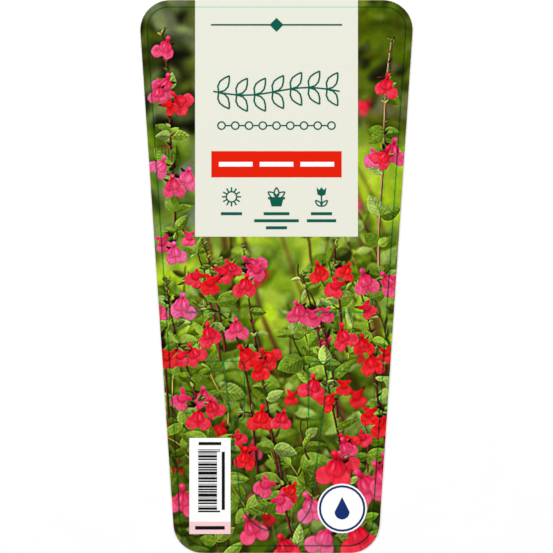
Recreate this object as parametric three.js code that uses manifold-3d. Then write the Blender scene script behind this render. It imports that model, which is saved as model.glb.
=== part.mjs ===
// A plant pot label: one tapered, die-cut sheet of white plastic, printed on its front. The tongue cut in
// its lower half hooks over the rim of a flower pot. The print shows flowering sage, a pale information
// panel, a red bar, three pictograms, a striped price patch and a round badge. Each colour of ink is a thin
// layer. The label lies on its back. X runs across it, Y up it and Z out of its printed face, in millimetres.
import * as THREE from "three";
import { mergeVertices } from "three/addons/utils/BufferGeometryUtils.js";
import Module from "manifold-3d";

const wasm = await Module();
wasm.setup();

// The sheet. Its sides taper downwards, and the halves are measured where they meet the ends.
const height = 236;
const topHalf = 59;
const bottomHalf = 43.2;
const cornerRadius = 12.8;
const sheetThickness = 0.375;
const inkThickness = 0.0625;
const knifeWidth = 0.1;
const nick = 0.8;

// The cuts, with halves from the middle: the tongue, the windows beside its neck, the tabs and the two slits.
const tongue = { rootHalf: 22.7, rootY: -36.1, endHalf: 15.3, endY: -93.6 };
const neck = { half: 13.7, bottom: -61.3, topRadius: 2.6, bottomRadius: 1.3 };
const tab = { upperHalf: 30.1, lowerHalf: 29.6, lowerY: -40.4 };
const slit = { y: -15.3, inner: 16.1, outer: 38.2 };

// The information panel and what is printed on it.
const panel = { half: 34.75, bottom: 17 };
const topRule = { y: 107.4, half: 28, line: 0.7, diamond: 3 };
const garland = { y: 79, half: 27, line: 0.7, wave: 1.6, pairs: 7, leafLength: 8.4, leafHalf: 2.1 };
const beads = { y: 64.4, half: 26.4, line: 0.6, count: 9, radius: 1.9 };
const bar = { y: 47.9, half: 27.8, halfHeight: 5.6, dashes: [-17.4, 0, 17.4], dashHalf: 7.2, dashHeight: 1 };
const signs = { y: 34, apart: 19.2, line: 0.6 };
const sun = { rays: 12, inner: 2.5, outer: 4.1 };
const planter = { bottom: -4.1, bottomHalf: 2.1, top: -0.6, topHalf: 3, rimHalf: 3.6, rimHalfHeight: 0.5 };
const planterLeaf = { foot: -0.4, lean: 0.6, length: 4.4, half: 1.1 };
const tulip = { stemMiddle: -1.9, stemHalf: 2.3 };
const tulipCup = [
  [0, 0.2],
  [1.7, 1],
  [2.1, 4],
  [0.9, 2.9],
  [0, 4.2],
  [-0.9, 2.9],
  [-2.1, 4],
  [-1.7, 1],
];
const tulipLeaf = { foot: -4, lean: 0.75, length: 3.6, half: 0.8 };
const rules = { y: 26.8, step: 3, height: 0.65, lengths: [[9], [11, 19, 9], [9, 12.5]] };

// The price patch and the badge.
const patch = { x: -28.4, y: -89.4, half: 8.8, halfHeight: 20.5, stripHeight: 5.3 };
const stripes = { x: -29.4, y: -87.2, half: 3.8, halfHeight: 13.4, rail: 0.4, gap: 0.6 };
const stripeWidths = [0.5, 1, 0.6, 1.6];
const patchRules = [
  { x: -28.4, y: -71.3, half: 4.8, halfHeight: 0.65 },
  { x: -22.7, y: -87.2, half: 0.65, halfHeight: 12.4 },
];
const stripRule = { half: 6.3, halfHeight: 0.75 };
const badge = { x: 28, y: -99, radius: 10.6, ring: 0.9, inset: 0.7 };
const drop = { radius: 3.2, tip: 6.4, shift: -1.5 };

// The sage. A sprig has a foot, a tip, a bow to the right and pairs of leaves.
const sprigs = [
  { foot: [-44, 8], tip: [-49, 104], bow: 2, pairs: 7 },
  { foot: [44, -3], tip: [49, 100], bow: -1.5, pairs: 7 },
  { foot: [-29, -66], tip: [-45, -4], bow: -3, pairs: 4 },
  { foot: [33, -86], tip: [39.5, -7], bow: 3, pairs: 6 },
  { foot: [5.5, -104], tip: [-14, 12], bow: -1.5, pairs: 8 },
  { foot: [15.5, -34], tip: [11, 2], bow: 0.5, pairs: 3 },
  { foot: [-28, -14], tip: [-31, 14], bow: 0.5, pairs: 2 },
  { foot: [28, -14], tip: [25, 14], bow: -0.5, pairs: 2 },
];
const sprig = { stem: 1, leafLength: 7.5, leafHalf: 2.1, lean: 0.9 };

// Heads of three blossoms: the place of each, and how far the whole is turned, in degrees.
const redHeads = [
  [-46, 76, 8],
  [-41, -32, 5],
  [40.5, -31, -10],
  [39.5, -59, 6],
  [-6, -36, 10],
  [-2.5, -62.5, 4],
  [1.5, -89, -8],
  [28.5, -48.5, 4],
  [-28, 2.5, 6],
  [25.5, 2.5, -12],
  [24, -26, 20],
];
const pinkHeads = [
  [-47.5, 96, 10],
  [-44.5, 44, -10],
  [-43.5, 16, 6],
  [47, 83, -6],
  [45.5, 52, 4],
  [43, -4, 12],
  [-43, -12, 14],
  [-33.5, -55, -6],
  [-12, 1.5, 8],
  [9.5, -13, -14],
  [29, -79, 12],
  [-23, -25, -12],
];
const blossoms = [
  { x: -3.2, y: 1.6, size: 0.9, turn: 0.5 },
  { x: 3.2, y: 1, size: 0.85, turn: -0.4 },
  { x: 0.2, y: -2.8, size: 1, turn: 0.1 },
];
const lobes = [
  { x: 0, y: 1.5, radiusX: 1.3, radiusY: 2.5 },
  { x: -1.8, y: -1.5, radiusX: 2.2, radiusY: 2.1 },
  { x: 1.8, y: -1.5, radiusX: 2.2, radiusY: 2.1 },
];

// How far the sage stays from the cuts and from the printed areas.
const margin = 0.4;

// Facets of a full circle, of a short round stretch, of a bead and of a petal, and the facets merged as flat.
const circleSteps = 28;
const filletSteps = 6;
const beadSteps = 14;
const motifSteps = 8;
const flatWithin = 0.005;

const materials = {
  plastic: paint(0xf6f6f3),
  picture: paint(0x66862f),
  leaf: paint(0x9dbb5c),
  cream: paint(0xebecdf),
  forest: paint(0x00594a),
  barRed: paint(0xe8290c),
  blossomRed: paint(0xe8202d),
  blossomPink: paint(0xf04c86),
  white: paint(0xffffff),
  blush: paint(0xf6c3cf),
  black: paint(0x1b1b1b),
  navy: paint(0x1c2f66),
};

function paint(color) {
  return new THREE.MeshStandardMaterial({ color, roughness: 0.45, metalness: 0 });
}

const at = (x, y) => new THREE.Vector2(x, y);
const origin = at(0, 0);
const turned = (points, angle, x, y) =>
  points.map((p) => p.clone().rotateAround(origin, angle).add(at(x, y)));
const mirrored = (points) => points.map((p) => at(-p.x, p.y));

// The points of an arc, in degrees counter-clockwise from +X.
function arc(x, y, radius, from, to, steps) {
  return Array.from({ length: steps + 1 }, (_, i) => {
    const angle = THREE.MathUtils.degToRad(from + ((to - from) * i) / steps);
    return at(x + radius * Math.cos(angle), y + radius * Math.sin(angle));
  });
}

function ellipse(x, y, radiusX, radiusY, steps) {
  return arc(0, 0, 1, 0, 360, steps)
    .slice(1)
    .map((p) => at(x + p.x * radiusX, y + p.y * radiusY));
}

function rectangle(x, y, half, halfHeight) {
  return [
    at(x - half, y - halfHeight),
    at(x + half, y - halfHeight),
    at(x + half, y + halfHeight),
    at(x - half, y + halfHeight),
  ];
}

// A polygon with each corner rounded by an arc that touches both its sides.
function rounded(corners, radius, steps) {
  return corners.flatMap((corner, i) => {
    const back = corners.at(i - 1).clone().sub(corner).normalize();
    const ahead = corners[(i + 1) % corners.length].clone().sub(corner).normalize();
    const halfAngle = Math.acos(back.dot(ahead)) / 2;
    const centre = back.clone().add(ahead).setLength(radius / Math.sin(halfAngle)).add(corner);
    const start = back.multiplyScalar(radius / Math.tan(halfAngle)).add(corner).sub(centre);
    const turn = Math.PI - 2 * halfAngle;
    const spot = (k) => turned([start], (turn * k) / steps, centre.x, centre.y)[0];
    return Array.from({ length: steps + 1 }, (_, k) => spot(k));
  });
}

// The outline of a line of even width along some points, with mitred bends and square ends.
function stroke(points, width) {
  const sides = points.map((p, i) => {
    const before = p.clone().sub(points[Math.max(i - 1, 0)]).normalize();
    const after = points[Math.min(i + 1, points.length - 1)].clone().sub(p).normalize();
    const along = before.clone().add(after).normalize();
    const square = i > 0 ? before : after;
    return at(-along.y, along.x).multiplyScalar(width / 2 / along.dot(square));
  });
  const left = points.map((p, i) => p.clone().sub(sides[i]));
  const right = points.map((p, i) => p.clone().add(sides[i]));
  return [...left, ...right.reverse()];
}

// A closed geometry as a solid for joining and cutting.
function solid(geometry) {
  const bare = geometry.deleteAttribute("normal").deleteAttribute("uv");
  const merged = mergeVertices(bare, 1e-4);
  return new wasm.Manifold(
    new wasm.Mesh({
      numProp: 3,
      vertProperties: merged.attributes.position.array,
      triVerts: new Uint32Array(merged.index.array),
    }),
  );
}

function prism(outline, low, high) {
  const options = { depth: high - low, bevelEnabled: false };
  return solid(new THREE.ExtrudeGeometry(new THREE.Shape(outline), options).translate(0, 0, low));
}

// The ink lies on the sheet in up to four layers, counted from 0.
const inkLevel = (layer) => sheetThickness + layer * inkThickness;
const ink = (outline, layer) => prism(outline, inkLevel(layer), inkLevel(layer + 1));
const through = (outline) => prism(outline, -1, inkLevel(4) + 1);
const join = (parts) => parts.reduce((whole, part) => whole.add(part));
const largest = (part) => part.decompose().reduce((a, b) => (b.volume() > a.volume() ? b : a));

const label = new THREE.Group();

function show(name, part, material) {
  const { numProp, numVert, vertProperties, triVerts } = part.asOriginal().simplify(flatWithin).getMesh();
  const spot = (i) => [...vertProperties.slice(i * numProp, i * numProp + 3)];
  const positions = Array.from({ length: numVert }, (_, i) => spot(i));
  const geometry = new THREE.BufferGeometry()
    .setAttribute("position", new THREE.Float32BufferAttribute(positions.flat(), 3))
    .setIndex([...triVerts]);
  geometry.computeVertexNormals();
  const mesh = new THREE.Mesh(geometry, material);
  mesh.name = name;
  label.add(mesh);
}

const sheetCorners = [
  at(-bottomHalf, -height / 2),
  at(bottomHalf, -height / 2),
  at(topHalf, height / 2),
  at(-topHalf, height / 2),
];
const sheetOutline = rounded(sheetCorners, cornerRadius, 2 * filletSteps);

// The tongue's sides and round end, from its root on the left to its root on the right.
function tonguePath() {
  const { rootHalf, rootY, endHalf, endY } = tongue;
  const lean = THREE.MathUtils.radToDeg(Math.atan2(rootHalf - endHalf, rootY - endY));
  const end = arc(0, endY, endHalf, 180 + lean, 360 - lean, circleSteps);
  return [at(-rootHalf, rootY), ...end, at(rootHalf, rootY)];
}

function tongueHalfAt(y) {
  return THREE.MathUtils.mapLinear(y, tongue.rootY, tongue.endY, tongue.rootHalf, tongue.endHalf);
}

// The cuts on the left. Each window is cut in two strokes, and the nicks between them hold its blank.
function leftPaths() {
  const { half, bottom, topRadius, bottomRadius } = neck;
  const top = tongue.rootY;
  const middle = (top + bottom) / 2;
  const topBend = arc(-half - topRadius, top - topRadius, topRadius, 90, 0, filletSteps);
  const bottomBend = arc(-half - bottomRadius, bottom + bottomRadius, bottomRadius, 0, -90, filletSteps);
  return [
    [at(-tab.upperHalf, top), ...topBend, at(-half, middle + nick / 2)],
    [at(-half, middle - nick / 2), ...bottomBend, at(-tongueHalfAt(bottom) + nick, bottom)],
    [at(-tab.lowerHalf, tab.lowerY), at(-tongueHalfAt(tab.lowerY), tab.lowerY)],
    [at(-slit.outer, slit.y), at(-slit.inner, slit.y)],
  ];
}

function knifeCuts(width) {
  const left = leftPaths();
  const paths = [tonguePath(), ...left, ...left.map(mirrored)];
  return join(paths.map((path) => through(stroke(path, width))));
}

// The two curved sides of a pointed leaf, from its foot at 0, 0 to its tip along +X.
function leafSides(length, half) {
  const side = Array.from({ length: motifSteps / 2 + 1 }, (_, i) => {
    const along = (2 * i) / motifSteps;
    return at(along * length, half * Math.sin(Math.PI * along ** 0.85));
  });
  return [side, side.map((p) => at(p.x, -p.y))];
}

function lineLeaf(x, y, angle, length, half, line) {
  const sides = leafSides(length, half);
  return join(sides.map((side) => ink(stroke(turned(side, angle, x, y), line), 2)));
}

function fullLeaf(x, y, angle, length, half) {
  const [upper, lower] = leafSides(length, half);
  return ink(turned([...lower, ...upper.slice(1, -1).reverse()], angle, x, y), 1);
}

function garlandLine() {
  const { y, half, line, wave, pairs, leafLength, leafHalf } = garland;
  const stemAt = (x) => at(x, y + wave * Math.sin((Math.PI * x) / half));
  const stem = Array.from({ length: circleSteps + 1 }, (_, i) => stemAt(half * ((2 * i) / circleSteps - 1)));
  const parts = [ink(stroke(stem, line), 2)];
  for (let i = 0; i < pairs; i++) {
    const foot = stemAt(half * ((2 * (i + 0.3)) / pairs - 1));
    for (const side of [-1, 1]) parts.push(lineLeaf(foot.x, foot.y, side, leafLength, leafHalf, line));
  }
  return join(parts);
}

function beadLine() {
  const { y, half, line, count, radius } = beads;
  const step = (2 * half) / count;
  const parts = [];
  for (let i = 0; i < count; i++) {
    const x = step * (i + 0.5) - half;
    const hole = through(ellipse(x, y, radius - line, radius - line, beadSteps));
    parts.push(ink(ellipse(x, y, radius, radius, beadSteps), 2).subtract(hole));
    if (i) parts.push(ink(rectangle(x - step / 2, y, step / 2 - radius + line / 2, line / 2), 2));
  }
  return join(parts);
}

function sunSign(x, y) {
  const { line } = signs;
  const { rays, inner, outer } = sun;
  const hole = through(ellipse(x, y, inner - line, inner - line, circleSteps));
  const ring = ink(ellipse(x, y, inner, inner, circleSteps), 2).subtract(hole);
  const ray = stroke([at(inner - line / 2, 0), at(outer, 0)], line);
  const rayAt = (i) => ink(turned(ray, (i * 2 * Math.PI) / rays, x, y), 2);
  return join([ring, ...Array.from({ length: rays }, (_, i) => rayAt(i))]);
}

function planterSign(x, y) {
  const { bottom, bottomHalf: footHalf, top, topHalf: mouthHalf, rimHalf, rimHalfHeight } = planter;
  const { foot, lean, length, half } = planterLeaf;
  const sides = [at(-footHalf, bottom), at(footHalf, bottom), at(mouthHalf, top), at(-mouthHalf, top)];
  const rim = ink(rectangle(x, y + top, rimHalf, rimHalfHeight), 2);
  const angles = [lean, Math.PI / 2, Math.PI - lean];
  const leaves = angles.map((angle) => lineLeaf(x, y + foot, angle, length, half, signs.line));
  return join([ink(turned(sides, 0, x, y), 2), rim, ...leaves]);
}

function tulipSign(x, y) {
  const { foot, lean, length, half } = tulipLeaf;
  const cup = tulipCup.map((point) => at(...point));
  const stem = ink(rectangle(x, y + tulip.stemMiddle, signs.line / 2, tulip.stemHalf), 2);
  const angles = [lean, Math.PI - lean];
  const leaves = angles.map((angle) => lineLeaf(x, y + foot, angle, length, half, signs.line));
  return join([ink(turned(cup, 0, x, y), 2), stem, ...leaves]);
}

// Bars of uneven width between two rails.
function stripeBlock() {
  const { x, y, half, halfHeight, rail, gap } = stripes;
  const parts = [-half, half].map((side) => ink(rectangle(x + side, y, rail / 2, halfHeight), 2));
  let foot = y - halfHeight;
  for (let i = 0; foot + stripeWidths[i % stripeWidths.length] <= y + halfHeight; i++) {
    const width = stripeWidths[i % stripeWidths.length];
    parts.push(ink(rectangle(x, foot + width / 2, half, width / 2), 2));
    foot += width + gap;
  }
  return join(parts);
}

function sprigShape({ foot, tip, bow, pairs }) {
  const stemAt = (t) => at(...foot).lerp(at(...tip), t).add(at(bow * Math.sin(Math.PI * t), 0));
  const stem = Array.from({ length: motifSteps + 1 }, (_, i) => stemAt(i / motifSteps));
  const parts = [ink(stroke(stem, sprig.stem), 1)];
  for (let i = 0; i < pairs; i++) {
    const spot = stemAt((i + 0.5) / pairs);
    for (const side of [-1, 1]) {
      const angle = Math.PI / 2 - side * sprig.lean;
      parts.push(fullLeaf(spot.x, spot.y, angle, sprig.leafLength, sprig.leafHalf));
    }
  }
  return join(parts);
}

// Three two-lipped blossoms that overlap in the middle.
function headShape([x, y, degrees]) {
  const parts = blossoms.flatMap((flower) =>
    lobes.map((lobe) => {
      const petal = ellipse(lobe.x, lobe.y, lobe.radiusX, lobe.radiusY, motifSteps);
      const sized = petal.map((p) => p.multiplyScalar(flower.size));
      const placed = turned(sized, flower.turn, flower.x, flower.y);
      return ink(turned(placed, THREE.MathUtils.degToRad(degrees), x, y), 2);
    }),
  );
  return join(parts);
}

const cuts = knifeCuts(knifeWidth);
const sheet = prism(sheetOutline, 0, sheetThickness);
show("label_sheet", sheet.subtract(cuts), materials.plastic);
show("picture_print", ink(sheetOutline, 0).subtract(cuts), materials.picture);

// The panel runs off the sheet's top edge.
const panelMiddle = (height / 2 + panel.bottom) / 2;
const panelHalfHeight = (height / 2 - panel.bottom) / 2;
show("info_panel", ink(rectangle(0, panelMiddle, panel.half, panelHalfHeight), 1), materials.cream);
const ruleLine = ink(rectangle(0, topRule.y, topRule.half, topRule.line / 2), 2);
const ruleDiamond = ink(ellipse(0, topRule.y, topRule.diamond, topRule.diamond, 4), 2);
show("top_rule", ruleLine.add(ruleDiamond), materials.forest);
show("garland", garlandLine(), materials.forest);
show("bead_line", beadLine(), materials.forest);
show("accent_bar", ink(rectangle(0, bar.y, bar.half, bar.halfHeight), 2), materials.barRed);
bar.dashes.forEach((x, i) => {
  show(`bar_dash_${i + 1}`, ink(rectangle(x, bar.y, bar.dashHalf, bar.dashHeight), 3), materials.white);
});
show("sun_sign", sunSign(-signs.apart, signs.y), materials.forest);
show("planter_sign", planterSign(0, signs.y), materials.forest);
show("tulip_sign", tulipSign(signs.apart, signs.y), materials.forest);
rules.lengths.forEach((lengths, column) => {
  lengths.forEach((length, row) => {
    const x = signs.apart * (column - 1);
    const rule = rectangle(x, rules.y - row * rules.step, length / 2, rules.height);
    show(`sign_rule_${column + 1}_${row + 1}`, ink(rule, 2), materials.forest);
  });
});

const stripY = patch.y - patch.halfHeight + patch.stripHeight / 2;
show("price_patch", ink(rectangle(patch.x, patch.y, patch.half, patch.halfHeight), 1), materials.white);
show("price_strip", ink(rectangle(patch.x, stripY, patch.half, patch.stripHeight / 2), 2), materials.blush);
show("price_stripes", stripeBlock(), materials.black);
patchRules.forEach(({ x, y, half, halfHeight }, i) => {
  show(`patch_rule_${i + 1}`, ink(rectangle(x, y, half, halfHeight), 2), materials.black);
});
show("strip_rule", ink(rectangle(patch.x, stripY, stripRule.half, stripRule.halfHeight), 3), materials.black);

const { x: badgeX, y: badgeY, radius: badgeRadius } = badge;
const ringOuter = badgeRadius - badge.inset;
const ringInner = ringOuter - badge.ring;
const ringHole = through(ellipse(badgeX, badgeY, ringInner, ringInner, circleSteps));
const dropOutline = [...arc(0, 0, drop.radius, 180, 360, motifSteps), at(0, drop.tip)];
show("badge", ink(ellipse(badgeX, badgeY, badgeRadius, badgeRadius, circleSteps), 1), materials.white);
const badgeRing = ink(ellipse(badgeX, badgeY, ringOuter, ringOuter, circleSteps), 2).subtract(ringHole);
show("badge_ring", badgeRing, materials.navy);
show("badge_drop", ink(turned(dropOutline, 0, badgeX, badgeY + drop.shift), 2), materials.navy);

// The sage keeps clear of the cuts and of the printed areas beside it.
const blocked = join([
  knifeCuts(knifeWidth + margin),
  through(rectangle(0, panelMiddle, panel.half + margin, panelHalfHeight + margin)),
  through(rectangle(patch.x, patch.y, patch.half + margin, patch.halfHeight + margin)),
  through(ellipse(badgeX, badgeY, badgeRadius + margin, badgeRadius + margin, circleSteps)),
]);
sprigs.forEach((place, i) => {
  show(`sage_sprig_${i + 1}`, largest(sprigShape(place).subtract(blocked)), materials.leaf);
});
redHeads.forEach((place, i) => {
  show(`red_blossoms_${i + 1}`, largest(headShape(place).subtract(blocked)), materials.blossomRed);
});
pinkHeads.forEach((place, i) => {
  show(`pink_blossoms_${i + 1}`, largest(headShape(place).subtract(blocked)), materials.blossomPink);
});

export default label;
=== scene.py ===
from math import cos, pi, sin

import bpy
import numpy as np
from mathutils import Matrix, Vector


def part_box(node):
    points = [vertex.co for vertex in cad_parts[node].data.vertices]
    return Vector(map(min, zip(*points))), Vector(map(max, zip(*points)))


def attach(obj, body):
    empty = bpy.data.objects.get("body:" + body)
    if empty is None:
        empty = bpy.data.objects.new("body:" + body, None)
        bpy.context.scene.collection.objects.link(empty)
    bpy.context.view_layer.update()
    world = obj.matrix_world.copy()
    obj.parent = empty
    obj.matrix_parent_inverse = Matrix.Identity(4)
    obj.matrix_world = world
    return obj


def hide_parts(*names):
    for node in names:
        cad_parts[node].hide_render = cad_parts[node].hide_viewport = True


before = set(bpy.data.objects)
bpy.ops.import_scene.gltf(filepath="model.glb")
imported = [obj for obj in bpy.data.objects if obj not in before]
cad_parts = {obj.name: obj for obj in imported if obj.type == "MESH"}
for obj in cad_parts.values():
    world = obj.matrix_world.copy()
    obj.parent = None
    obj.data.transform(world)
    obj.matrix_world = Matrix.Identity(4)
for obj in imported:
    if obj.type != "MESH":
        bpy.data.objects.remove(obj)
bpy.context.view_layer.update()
print("label: the packed model is loaded")

mm = 0.001


def asLight(colour):  # a screen colour as the amounts of light that shaders use
    colour = np.asarray(colour, np.float64)
    return np.where(colour <= 0.04045, colour / 12.92, ((colour + 0.055) / 1.055) ** 2.4)


def deselectAll():
    for item in bpy.context.selected_objects:
        item.select_set(False)


def activate(item):
    deselectAll()
    item.select_set(True)
    bpy.context.view_layer.objects.active = item


def settle(item):
    activate(item)
    bpy.ops.object.transform_apply(location=True, rotation=True, scale=True)


# the camera looks straight down on the label, which fills the height of the picture
camera = {"lens": 200, "sensor": 36, "seen": 236.0, "level": 0.5, "nearest": 0.01, "farthest": 20}

cameraHeight = camera["seen"] * camera["lens"] / camera["sensor"] + camera["level"]
bpy.ops.object.camera_add(location=(0, 0, cameraHeight * mm))
viewer = bpy.context.object
viewer.name = "viewer"
viewer.data.lens = camera["lens"]
viewer.data.sensor_width = camera["sensor"]
viewer.data.clip_start = camera["nearest"]
viewer.data.clip_end = camera["farthest"]
scene = bpy.context.scene
scene.camera = viewer

# a pale table and soft light from both sides and from the top of the picture
studio = {
    "floor": 4.0,
    "floorGap": 0.0001,
    "around": 0.25,
    "lamps": [
        {"name": "lampLeft", "place": (-1.5, 0.2, 1.5), "size": 1.4, "power": 25.5},
        {"name": "lampRight", "place": (1.5, 0.1, 1.5), "size": 1.4, "power": 21.7},
        {"name": "lampFar", "place": (0.0, 1.9, 1.6), "size": 1.6, "power": 21.7},
    ],
}

deselectAll()
bpy.ops.mesh.primitive_plane_add(size=studio["floor"], location=(0, 0, -studio["floorGap"]))
table = bpy.context.object
table.name = "table"
settle(table)
for lamp in studio["lamps"]:
    deselectAll()
    bpy.ops.object.light_add(type="AREA", location=lamp["place"])
    light = bpy.context.object
    light.name = lamp["name"]
    light.data.size = lamp["size"]
    light.data.energy = lamp["power"]
    light.rotation_euler = (-light.location).to_track_quat("-Z", "Y").to_euler()
scene.world = scene.world or bpy.data.worlds.new("room")
scene.world.use_nodes = True
room = scene.world.node_tree.nodes["Background"].inputs
room["Color"].default_value = (1, 1, 1, 1)
room["Strength"].default_value = studio["around"]
scene.view_settings.view_transform = "Standard"
print("label: camera, table and lamps are set")


# one value in a shader, and the sums that are done on it
class Wire:
    def __init__(self, socket):
        self.socket = socket

    def sum(self, operation, first, second):
        tree = self.socket.id_data
        node = tree.nodes.new("ShaderNodeMath")
        node.operation = operation
        for spot, value in zip(node.inputs, (first, second)):
            if isinstance(value, Wire):
                tree.links.new(value.socket, spot)
            else:
                spot.default_value = value
        return Wire(node.outputs[0])

    def __add__(self, other):
        return self.sum("ADD", self, other)

    def __sub__(self, other):
        return self.sum("SUBTRACT", self, other)

    def __rsub__(self, other):
        return self.sum("SUBTRACT", other, self)

    def __mul__(self, other):
        return self.sum("MULTIPLY", self, other)

    def __lt__(self, other):
        return self.sum("LESS_THAN", self, other)

    def size(self):
        return self.sum("ABSOLUTE", self, 0)

    __radd__ = __add__
    __rmul__ = __mul__


class Finish:
    def __init__(self, name):
        self.material = bpy.data.materials.new(name)
        self.material.use_nodes = True
        self.tree = self.material.node_tree
        self.shader = self.tree.nodes["Principled BSDF"]

    def fill(self, node, values):
        for name, value in values.items():
            if isinstance(value, Wire):
                self.tree.links.new(value.socket, node.inputs[name])
            else:
                node.inputs[name].default_value = value

    def node(self, kind, settings, values, output=0):
        node = self.tree.nodes.new("ShaderNode" + kind)
        for name, value in settings.items():
            setattr(node, name, value)
        self.fill(node, values)
        return Wire(node.outputs[output])

    def surface(self, values):
        self.fill(self.shader, values)
        return self.material

    # a mix of two colours, each a wire or four numbers
    def mix(self, share, first, second, kind="MIX"):
        settings = {"data_type": "RGBA", "blend_type": kind}
        return self.node("Mix", settings, {0: share, 6: first, 7: second}, 2)

    def place(self):
        return self.node("TexCoord", {}, {}, "Object")

    def noise(self, perMetre, detail):
        return self.node("TexNoise", {}, {"Vector": self.place(), "Scale": perMetre, "Detail": detail})

    def bump(self, height, strength, distance):
        return self.node("Bump", {}, {"Height": height, "Strength": strength, "Distance": distance})


def screen(colour, share=1.0):  # a screen colour, darkened to a share, as four numbers for a socket
    return (*[float(c) for c in asLight(np.array(colour) * share)], 1.0)


# how printed ink lies on the plastic: small unevenness of colour, of gloss and of the surface
press = {
    "cloudScale": 60,
    "speckScale": 1700,
    "peelScale": 900,
    "fade": 0.10,
    "speck": 0.12,
    "darker": 0.82,
    "gloss": (0.34, 0.50),
    "peel": 0.05,
    "peelHeight": 0.00004,
    "level": 0.05,
    "strength": 0.925,
}


def clouds(finish):
    return finish.noise(press["cloudScale"], 3)


def inkSpecks(finish):
    return finish.noise(press["speckScale"], 1)


def inkTone(finish, colour, darker):  # the colour with its unevenness, and the clouds in it
    cloudy = clouds(finish)
    share = cloudy * press["fade"] + inkSpecks(finish) * press["speck"]
    return finish.mix(share, screen(colour), screen(colour, darker)), cloudy


def finishInk(finish, colour, cloudy, level=1.0):
    peel = finish.noise(press["peelScale"], 2)
    low, high = press["gloss"]
    return finish.surface({
        "Base Color": colour,
        "Roughness": cloudy * (high - low) + low,
        "Specular IOR Level": press["level"] * level,
        "Normal": finish.bump(peel, press["peel"], press["peelHeight"]),
    })


# the colours of the printed parts and of the table, as a screen shows them
inks = {
    "panelCream": (0.889, 0.893, 0.840),
    "hairlineMint": (0.58, 0.84, 0.72),
    "forestGreen": (0.05, 0.355, 0.29),
    "barRed": (0.885, 0.12, 0.02),
    "whiteInk": (0.985, 0.985, 0.98),
    "stripBlush": (0.965, 0.80, 0.82),
    "blackInk": (0.07, 0.07, 0.07),
    "navyInk": (0.08, 0.19, 0.42),
    "tableTop": (0.985, 0.985, 0.985),
}


def makeInk(name):
    finish = Finish(name)
    shown, cloudy = inkTone(finish, inks[name], press["darker"])
    return finishInk(finish, shown, cloudy)


whitePlastic = {
    "colour": (0.95, 0.95, 0.94),
    "darker": 0.94,
    "fade": 0.3,
    "gloss": (0.36, 0.50),
    "level": 0.4,
    "glow": 0.1,
    "glowDepth": 0.001,
    "peelScale": 420,
    "peel": 0.12,
    "peelHeight": 0.00006,
}


def makePlastic():
    finish = Finish("whitePlastic")
    cloudy = clouds(finish)
    colour = whitePlastic["colour"]
    darker = screen(colour, whitePlastic["darker"])
    shown = finish.mix(cloudy * whitePlastic["fade"], screen(colour), darker)
    low, high = whitePlastic["gloss"]
    peel = finish.noise(whitePlastic["peelScale"], 3)
    return finish.surface({
        "Base Color": shown,
        "Roughness": cloudy * (high - low) + low,
        "Specular IOR Level": whitePlastic["level"],
        "Subsurface Weight": whitePlastic["glow"],
        "Subsurface Radius": [whitePlastic["glowDepth"]] * 3,
        "Normal": finish.bump(peel, whitePlastic["peel"], whitePlastic["peelHeight"]),
    })


# the hairline runs across the panel, three millimetres below the label's upper edge
hairline = {"y": 115.0, "width": 0.42, "depth": 0.9, "panelDarker": 0.9}


def makePanel():
    finish = Finish("panelCream")
    shown, cloudy = inkTone(finish, inks["panelCream"], hairline["panelDarker"])
    across = (finish.node("SeparateXYZ", {}, {"Vector": finish.place()}, "Y") - hairline["y"] * mm).size()
    line = (across < hairline["width"] / 2 * mm) * hairline["depth"]
    return finishInk(finish, finish.mix(line, shown, screen(inks["hairlineMint"])), cloudy)


def dress(material, *names):
    for name in names:
        node = bpy.data.objects[name]
        for slot in node.material_slots:
            slot.material = material


def named(*starts):
    return [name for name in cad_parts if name.startswith(starts)]


# the printed picture: a canvas of small dots, painted from back to front, whose colours the sheet takes
sheet = {"height": 236.0, "topHalf": 59.0, "bottomHalf": 43.2, "corner": 12.8}
picture = {
    "dot": 0.15,
    "half": 59.1,
    "seed": 11,
    "crisp": 1.6,
    "crispWidth": 0.35,
    "mottle": 0.06,
    "patches": 4.0,
    "light": (-0.5, 0.86),
}

# the tones of the foliage, the stems and the calyxes, as a screen shows them
tints = {
    "night": (0.05, 0.06, 0.0),
    "brown": (0.20, 0.11, 0.03),
    "moss": (0.24, 0.28, 0.0),
    "smoke": (0.42, 0.45, 0.24),
    "haze": (0.50, 0.54, 0.37),
    "olive": (0.33, 0.37, 0.0),
    "deepLeaf": (0.27, 0.33, 0.0),
    "leaf": (0.38, 0.49, 0.03),
    "midLeaf": (0.45, 0.59, 0.11),
    "freshLeaf": (0.55, 0.67, 0.18),
    "greyLeaf": (0.63, 0.74, 0.33),
    "lime": (0.71, 0.83, 0.13),
    "paleLime": (0.80, 0.86, 0.30),
    "violet": (0.47, 0.50, 0.60),
    "mauve": (0.56, 0.50, 0.44),
    "stem": (0.27, 0.12, 0.09),
    "oliveStem": (0.42, 0.38, 0.13),
    "tanStem": (0.50, 0.36, 0.24),
    "calyx": (0.44, 0.42, 0.16),
    "darkCalyx": (0.22, 0.09, 0.08),
    "budGreen": (0.60, 0.66, 0.27),
    "budRed": (0.60, 0.06, 0.16),
}
tints = {name: np.array(value, np.float32) for name, value in tints.items()}
# the colours of the blossoms: their own, a deep one for folds and a pale one for light
blooms = {
    "scarlet": ((0.88, 0.08, 0.10), (0.66, 0.01, 0.05), (0.96, 0.24, 0.25)),
    "crimson": ((0.90, 0.11, 0.20), (0.66, 0.01, 0.10), (0.96, 0.29, 0.35)),
    "rose": ((0.89, 0.21, 0.37), (0.72, 0.04, 0.20), (0.95, 0.40, 0.54)),
    "pink": ((0.91, 0.33, 0.51), (0.78, 0.10, 0.31), (0.95, 0.47, 0.63)),
}
blooms = {name: [np.array(c, np.float32) for c in value] for name, value in blooms.items()}

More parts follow.
